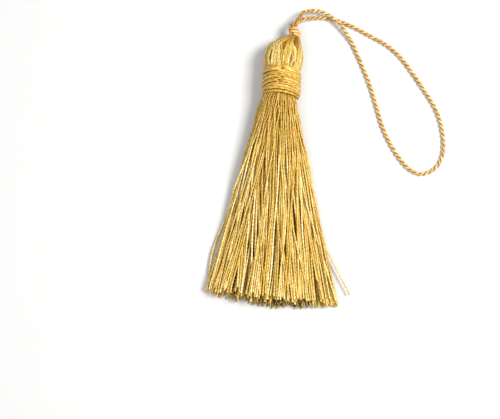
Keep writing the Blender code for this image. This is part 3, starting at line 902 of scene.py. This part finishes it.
def make_skirt(material):
    """The skirt's strands. Those outside are twisted threads, and those inside are plainer."""
    lines, place_x, up, bunch = skirt_lines(STRAND_STEPS)
    bunch_tones = chance.uniform(0, 1, BUNCHES)
    from_middle = np.hypot(place_x, up)
    outside = (up > OUTSIDE_UP) | ((from_middle > OUTSIDE_EDGE) & (up > OUTSIDE_LOWEST))
    parts = np.array_split(np.flatnonzero(outside), OUTER_PIECES)
    pieces = [(f"skirt_outer_{number}", part, 1) for number, part in enumerate(parts, 1)]
    pieces.append(("skirt_inner", np.flatnonzero(~outside), INNER_THINNED))
    for name, strands, thinned in pieces:
        chosen = lines[strands][:, ::thinned]
        share = between(SKIRT_COLUMNS, SKIRT_SECTIONS, "squeezed", chosen[..., 1])
        from_end = lengths_along(chosen)[:, -1:] - lengths_along(chosen)
        flared = 1 + END_FLARE * eased(1 - from_end / END_FLARE_OVER)
        size = chance.uniform(*STRAND_SIZES, (len(strands), 1))
        phases = chance.uniform(0, 2 * math.pi, len(strands))
        pitch = STRAND_PITCH * chance.uniform(*STRAND_PITCHES, len(strands))
        section = two_ply_section() if thinned == 1 else ribbed_section(*INNER_RIBS)
        radii = STRAND_RADIUS * share * flared * size
        points, places = thread_points(chosen, radii, section, pitch, UP, phases)
        points[..., 2] = np.maximum(points[..., 2], LOWEST)
        tips = TIP_SHARE * eased(1 - from_end / TIP_LENGTH)
        own_tones = chance.uniform(0, 1, len(strands))
        tones = (OWN_TONE_SHARE * own_tones + BUNCH_TONE_SHARE * bunch_tones[bunch[strands]])[:, None]
        # Painted shade on strands deep inside the bundle, fading near their lit ends
        inside_shade = eased((INSIDE_FROM - from_middle[strands]) / INSIDE_OVER)[:, None]
        # Painted shade on the strands towards the binding
        tones = tones - NECK_PAINTED_SHADE * eased((chosen[..., 1] - NECK_PAINTED_SHADE_FROM) / NECK_PAINTED_SHADE_OVER)
        tones = with_groove_shade(tones - INSIDE_PAINTED_SHADE * inside_shade * eased(from_end / ENDS_LIT_OVER), section)
        new_piece(name, [(points, places, tones, tips)], material, "silk_yarn", "yarn_bundle")


def slit_push(angle, along):
    """How far the head's slits push a yarn aside, in degrees."""
    push = np.zeros(np.broadcast(angle, along).shape)
    for row in SLITS:
        slit = dict(zip(SLIT_COLUMNS, row))
        off = (angle - slit["angle"] + 180.0) % 360.0 - 180.0
        middle, half = (slit["low"] + slit["high"]) / 2, (slit["high"] - slit["low"]) / 2
        window = np.clip(1 - ((along - middle) / half) ** 2, 0, 1)
        push += slit["opens"] * window * np.sign(off) * np.exp(-(off / slit["width"]) ** 2)
    return push


def head_lines(angles, depth, along, opened):
    """Yarns laid up the head at these angles in degrees and this depth, with its slits opened so far."""
    values = {name: between(HEAD_COLUMNS, HEAD_SECTIONS, name, along)[None] for name in HEAD_COLUMNS}
    angle = angles[:, None] + wander_up_head(len(angles), along) + opened * slit_push(angles[:, None], along)
    turned = np.radians(angle)
    number = np.arange(len(angles))[:, None]
    sunk = depth + sum(
        HEAD_DIVE * eased((along - starts) / HEAD_DIVE_LENGTH) * (number % (2 * every) == every)
        for every, starts in HEAD_DIVES
    )
    half_width = np.maximum(THINNEST, values["half_width"] - HEAD_YARN_RADIUS - sunk)
    half_height = np.maximum(THINNEST, values["half_height"] - HEAD_YARN_RADIUS - sunk)
    x = values["centre_x"] + half_width * np.cos(turned)
    z = values["centre_z"] + half_height * np.sin(turned)
    fade = np.clip((SLOPE_FADES_BY - along) / (SLOPE_FADES_BY - SLOPE_FADES_FROM), 0.0, 1.0)
    y = along - BINDING_SLOPE * fade * x
    lines = np.stack([x, np.broadcast_to(y, x.shape), z], 2)
    for _ in range(HEAD_SMOOTH_ROUNDS):
        lines[:, 1:-1] = (lines[:, :-2] + 2 * lines[:, 1:-1] + lines[:, 2:]) / 4
    return lines


def wander_up_head(count, along):
    """Small uneven drifts of yarns up the head, in degrees."""
    phase = chance.uniform(0, 2 * math.pi, (count, 1))
    size = chance.normal(0.0, HEAD_WANDER, (count, 1))
    return size * np.sin(2 * math.pi * along / HEAD_WANDER_LENGTH + phase)


def make_head(material):
    """Layers of yarn over the head's core."""
    groups = []
    along = np.linspace(HEAD_START, HEAD_END, HEAD_STEPS)
    narrow = np.clip(between(HEAD_COLUMNS, HEAD_SECTIONS, "half_width", along) / NARROW_BELOW, 0.0, 1.0)
    narrowed = NARROW_YARN_SHARE + (1 - NARROW_YARN_SHARE) * narrow
    section = two_ply_section()
    for layer in range(HEAD_LAYERS):
        count = HEAD_YARNS - HEAD_YARNS_FEWER * layer
        places_around = np.arange(count) + 0.5 * layer + chance.uniform(*HEAD_UNEVEN_ANGLES, count)
        angles = 360.0 / count * places_around
        lines = head_lines(angles, layer * HEAD_LAYER_DEPTH, along, SLITS_OPENED[layer])
        group_raised = chance.normal(*GROUP_RAISED, YARN_GROUPS).clip(*GROUP_RAISED_LIMITS)
        raised = chance.normal(0, YARN_RAISED, (count, 1))
        raised = raised + np.repeat(group_raised, YARNS_IN_GROUP)[:count, None]
        lines[..., 2] += raised * np.sin(np.radians(angles))[:, None]
        lines[..., 0] += raised * np.cos(np.radians(angles))[:, None]
        radii = HEAD_YARN_RADIUS * narrowed * chance.uniform(*HEAD_YARN_SIZES, (count, 1))
        phases = chance.uniform(0, 2 * math.pi, count)
        points, places = thread_points(lines, radii, section, STRAND_PITCH, HEAD_YARN_ACROSS, phases)
        points[..., 2] = np.maximum(points[..., 2], LOWEST)
        # Painted shade with some staining at the crown under the knot
        crown = eased((along - CROWN_SHADE_AND_STAIN_FROM) / CROWN_SHADE_AND_STAIN_OVER)
        # Painted shade on the lower layers of yarn
        tones = chance.uniform(*HEAD_TONES, (count, 1)) - CROWN_SHADE_AND_STAIN * crown - INNER_YARNS_PAINTED_SHADE * layer
        tones = with_groove_shade(tones, section)
        groups.append((points, places, tones, np.zeros(lines.shape[:2])))
    new_piece("head_yarns", groups, material, "silk_yarn", "yarn_bundle")


def make_head_core(material):
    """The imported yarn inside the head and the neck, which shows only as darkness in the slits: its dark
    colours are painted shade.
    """
    along = np.linspace(CORE_START, CORE_END, CORE_STEPS)
    line = np.stack([
        between(HEAD_COLUMNS, HEAD_SECTIONS, "centre_x", along), along,
        between(HEAD_COLUMNS, HEAD_SECTIONS, "centre_z", along),
    ], 1)[None]
    depth = HEAD_YARN_RADIUS + (HEAD_LAYERS - 1) * HEAD_LAYER_DEPTH
    depth = depth + CORE_DEEPER * eased((along - CORE_DEEPER_FROM) / CORE_DEEPER_OVER)
    radii = np.maximum(CORE_THINNEST, between(HEAD_COLUMNS, HEAD_SECTIONS, "half_width", along) - depth)[None]
    points, places = thread_points(line, radii, ribbed_section(*CORE_RIBS), CORE_PITCH, UP, np.zeros(1))
    group = (points, places, np.array([[CORE_TONE]]), np.zeros(radii.shape))
    new_piece("head_core", [group], material, "silk_yarn", "yarn_bundle")


def around_neck(turns, along, radius):
    """A line around the binding from turns in degrees, flattened where it rests on the surface."""
    angle = np.radians(turns)
    x = radius * np.cos(angle)
    z = np.maximum(BINDING_HEIGHT + radius * np.sin(angle), BINDING_THREAD)
    return np.stack([x, along + BINDING_LIFT - BINDING_SLOPE * x, z], -1)


def binding_sink(level):
    """The end wraps lie deeper, where the neck closes under them, and the lower ones most."""
    most = EDGE_SINKS * np.where(level < 0, LOWER_SINK_SHARE, 1.0)
    return most * np.clip(abs(level) / BINDING_HALF, 0.0, 1.0) ** EDGE_SINK_POWER


def slant_rise(share, turns):
    """How far a slanted pair rises from the far left on, for its share of the way up the binding."""
    most = SLANT_MOST * (1 - share) ** SLANT_POWER + SLANT_LEAST
    return most * eased((SLANT_FROM - turns) / SLANT_OVER)


def pair_level(share):
    """Where a slanted pair starts, for its share of the way up the binding."""
    return (BINDING_HALF - BINDING_THREAD - PAIR_SPACING / 2) * (2 * share - 1)


def make_binding(material):
    """Wraps all round the neck, and slanted pairs of wraps that lie over them on the left side."""
    groups = []
    outside = BINDING_RADIUS - BINDING_THREAD
    spacing = (2 * BINDING_HALF - 2 * BINDING_THREAD) / (BINDING_WRAPS - 1)
    turns = np.linspace(*WRAP_TURNS, WRAP_STEPS)
    crown = np.sin(np.radians(np.clip(turns, 0.0, 180.0)))
    lowest_pair = pair_level(0.0) + slant_rise(0.0, turns)
    for wrap in range(BINDING_WRAPS):
        level = -BINDING_HALF + BINDING_THREAD + spacing * wrap
        starts_at = MEETING - WRAPS_UNDER_BEFORE + MEETING_SPREAD * chance.uniform(-1, 1)
        uneven = sum(
            size * chance.normal() * np.cos(waves * np.radians(turns) + chance.uniform(0, 2 * math.pi))
            for waves, size in WRAP_WAVES
        )
        arch = BINDING_ARCH * crown ** 2 * (1 - EDGE_ARCH_FLATTER * (level / BINDING_HALF) ** 2)
        along = level + arch + uneven
        under = eased((turns - starts_at) / WRAPS_UNDER_OVER)
        under = under * eased((WRAPS_UNDER_UNTIL - turns) / WRAPS_OUT_OVER)
        under = under * eased((along - lowest_pair + WRAPS_UNDER_BELOW) / WRAPS_UNDER_SOFTLY)
        sunk = UNDER_DEPTH * under + binding_sink(level) + chance.uniform(*WRAP_DEPTHS)
        # Painted shade where a wrap goes under the pairs, and on the lowest wrap
        painted_shade = WRAPS_UNDER_PAINTED_SHADE * under + LOWEST_WRAP_PAINTED_SHADE * (wrap == 0)
        groups.append(binding_group(around_neck(turns, along, outside - sunk)[None], painted_shade=painted_shade))
    turns = np.linspace(*PAIR_TURNS, PAIR_STEPS)
    for pair in range(SLANTED_PAIRS):
        share = pair / (SLANTED_PAIRS - 1)
        middle = pair_level(share) + PAIR_UNEVENNESS * chance.normal()
        for side in (-0.5, 0.5):
            level = middle + side * PAIR_SPACING
            ends_at = MEETING - PAIRS_UNDER_BEFORE + MEETING_SPREAD * chance.uniform(-1.0, 1.0)
            over = eased((turns - ends_at) / PAIRS_UNDER_OVER)
            over = over * eased((PAIRS_UNDER_FROM - turns) / PAIRS_OUT_OVER)
            under_by = PAIR_DEPTH_SHARE * UNDER_DEPTH * (1 - over)
            sunk = under_by + binding_sink(level) + chance.uniform(*PAIR_DEPTHS)
            along = level + slant_rise(share, turns)
            groups.append(binding_group(around_neck(turns, along, outside - sunk)[None], SLANTED_THREAD))
    new_piece("binding_wraps", groups, material, "binding_yarn", "neck_binding")


def binding_group(line, radius=BINDING_THREAD, painted_shade=0.0):
    """One thread of the binding along a line, with painted shade where another lies over it."""
    radii = np.full(line.shape[:2], radius * chance.uniform(*BINDING_THREAD_SIZES))
    phases = chance.uniform(0, 2 * math.pi, 1)
    points, places = thread_points(line, radii, two_ply_section(), BINDING_PITCH, ALONG_TASSEL, phases)
    points[..., 2] = np.maximum(points[..., 2], BINDING_LOWEST)
    return points, places, chance.uniform(*BINDING_TONES, (1, 1)) - painted_shade, np.zeros(line.shape[:2])


def make_floor():
    """A plain pale floor under the tassel."""
    mesh = bpy.data.meshes.new("floor")
    corners = [(FLOOR_REACH * x, FLOOR_REACH * y, 0.0) for x, y in ((-1, -1), (1, -1), (1, 1), (-1, 1))]
    mesh.from_pydata(corners, [], [(0, 1, 2, 3)])
    floor = bpy.data.objects.new("floor", mesh)
    floor.location.z = -FLOOR_DROP
    nodes = Nodes("floor")
    place = nodes.add("ShaderNodeTexCoord").outputs["Object"]
    grain = nodes.noise(place, (1.0, 1.0, 1.0), FLOOR_GRAIN)
    low = tuple(FLOOR_DARKEST_SHARE * part for part in FLOOR_COLOUR)
    nodes.join(nodes.ramp(grain, (low, FLOOR_COLOUR)), nodes.shader.inputs["Base Color"])
    nodes.shader.inputs["Roughness"].default_value = FLOOR_ROUGHNESS
    mesh.materials.append(nodes.material)
    bpy.context.scene.collection.objects.link(floor)


def add_light(name, place, size, power):
    """A square soft light that points at the tassel."""
    data = bpy.data.lights.new(name, "AREA")
    data.size = size
    data.energy = power
    light = bpy.data.objects.new(name, data)
    away = np.array(place) - LAMP_TARGET
    turn = Matrix.Rotation(math.atan2(away[0], -away[1]), 4, "Z")
    tilt = Matrix.Rotation(math.atan2(math.hypot(away[0], away[1]), away[2]), 4, "X")
    light.matrix_world = Matrix.Translation(place) @ turn @ tilt
    bpy.context.scene.collection.objects.link(light)


def make_light():
    """Soft studio light: a pale surrounding and two large lamps."""
    world = bpy.data.worlds.new("studio")
    world.use_nodes = True
    background = world.node_tree.nodes["Background"]
    background.inputs["Color"].default_value = STUDIO_COLOUR
    background.inputs["Strength"].default_value = STUDIO_STRENGTH
    bpy.context.scene.world = world
    bpy.context.scene.view_settings.view_transform = "Standard"
    for lamp in LAMPS:
        add_light(**lamp)


def main():
    make_camera()
    cord_silk = silk("cord_silk", (CORD_DEEP, CORD_GOLD, CORD_PALE), roughness=0.42, bump_depth=0.05)
    yarn_silk = silk("yarn_silk", (GOLD_DEEP, GOLD, GOLD_PALE), roughness=0.36)
    wrap_silk = silk("binding_silk", (BINDING_DEEP, BINDING_GOLD, BINDING_PALE), roughness=0.38)
    core_shade_silk = silk("core_shade_silk", (CORE_SHADE_DEEP, CORE_SHADE_GOLD, CORE_SHADE_PALE), roughness=0.6)
    head_shaded_silk = silk("head_shaded_silk", (HEAD_SHADED_DEEP, HEAD_SHADED_GOLD, HEAD_SHADED_PALE), roughness=0.36)
    make_cord(cord_silk)
    make_knot(cord_silk)
    make_skirt(yarn_silk)
    make_head_core(core_shade_silk)
    make_head(head_shaded_silk)
    make_binding(wrap_silk)
    make_floor()
    make_light()


main()
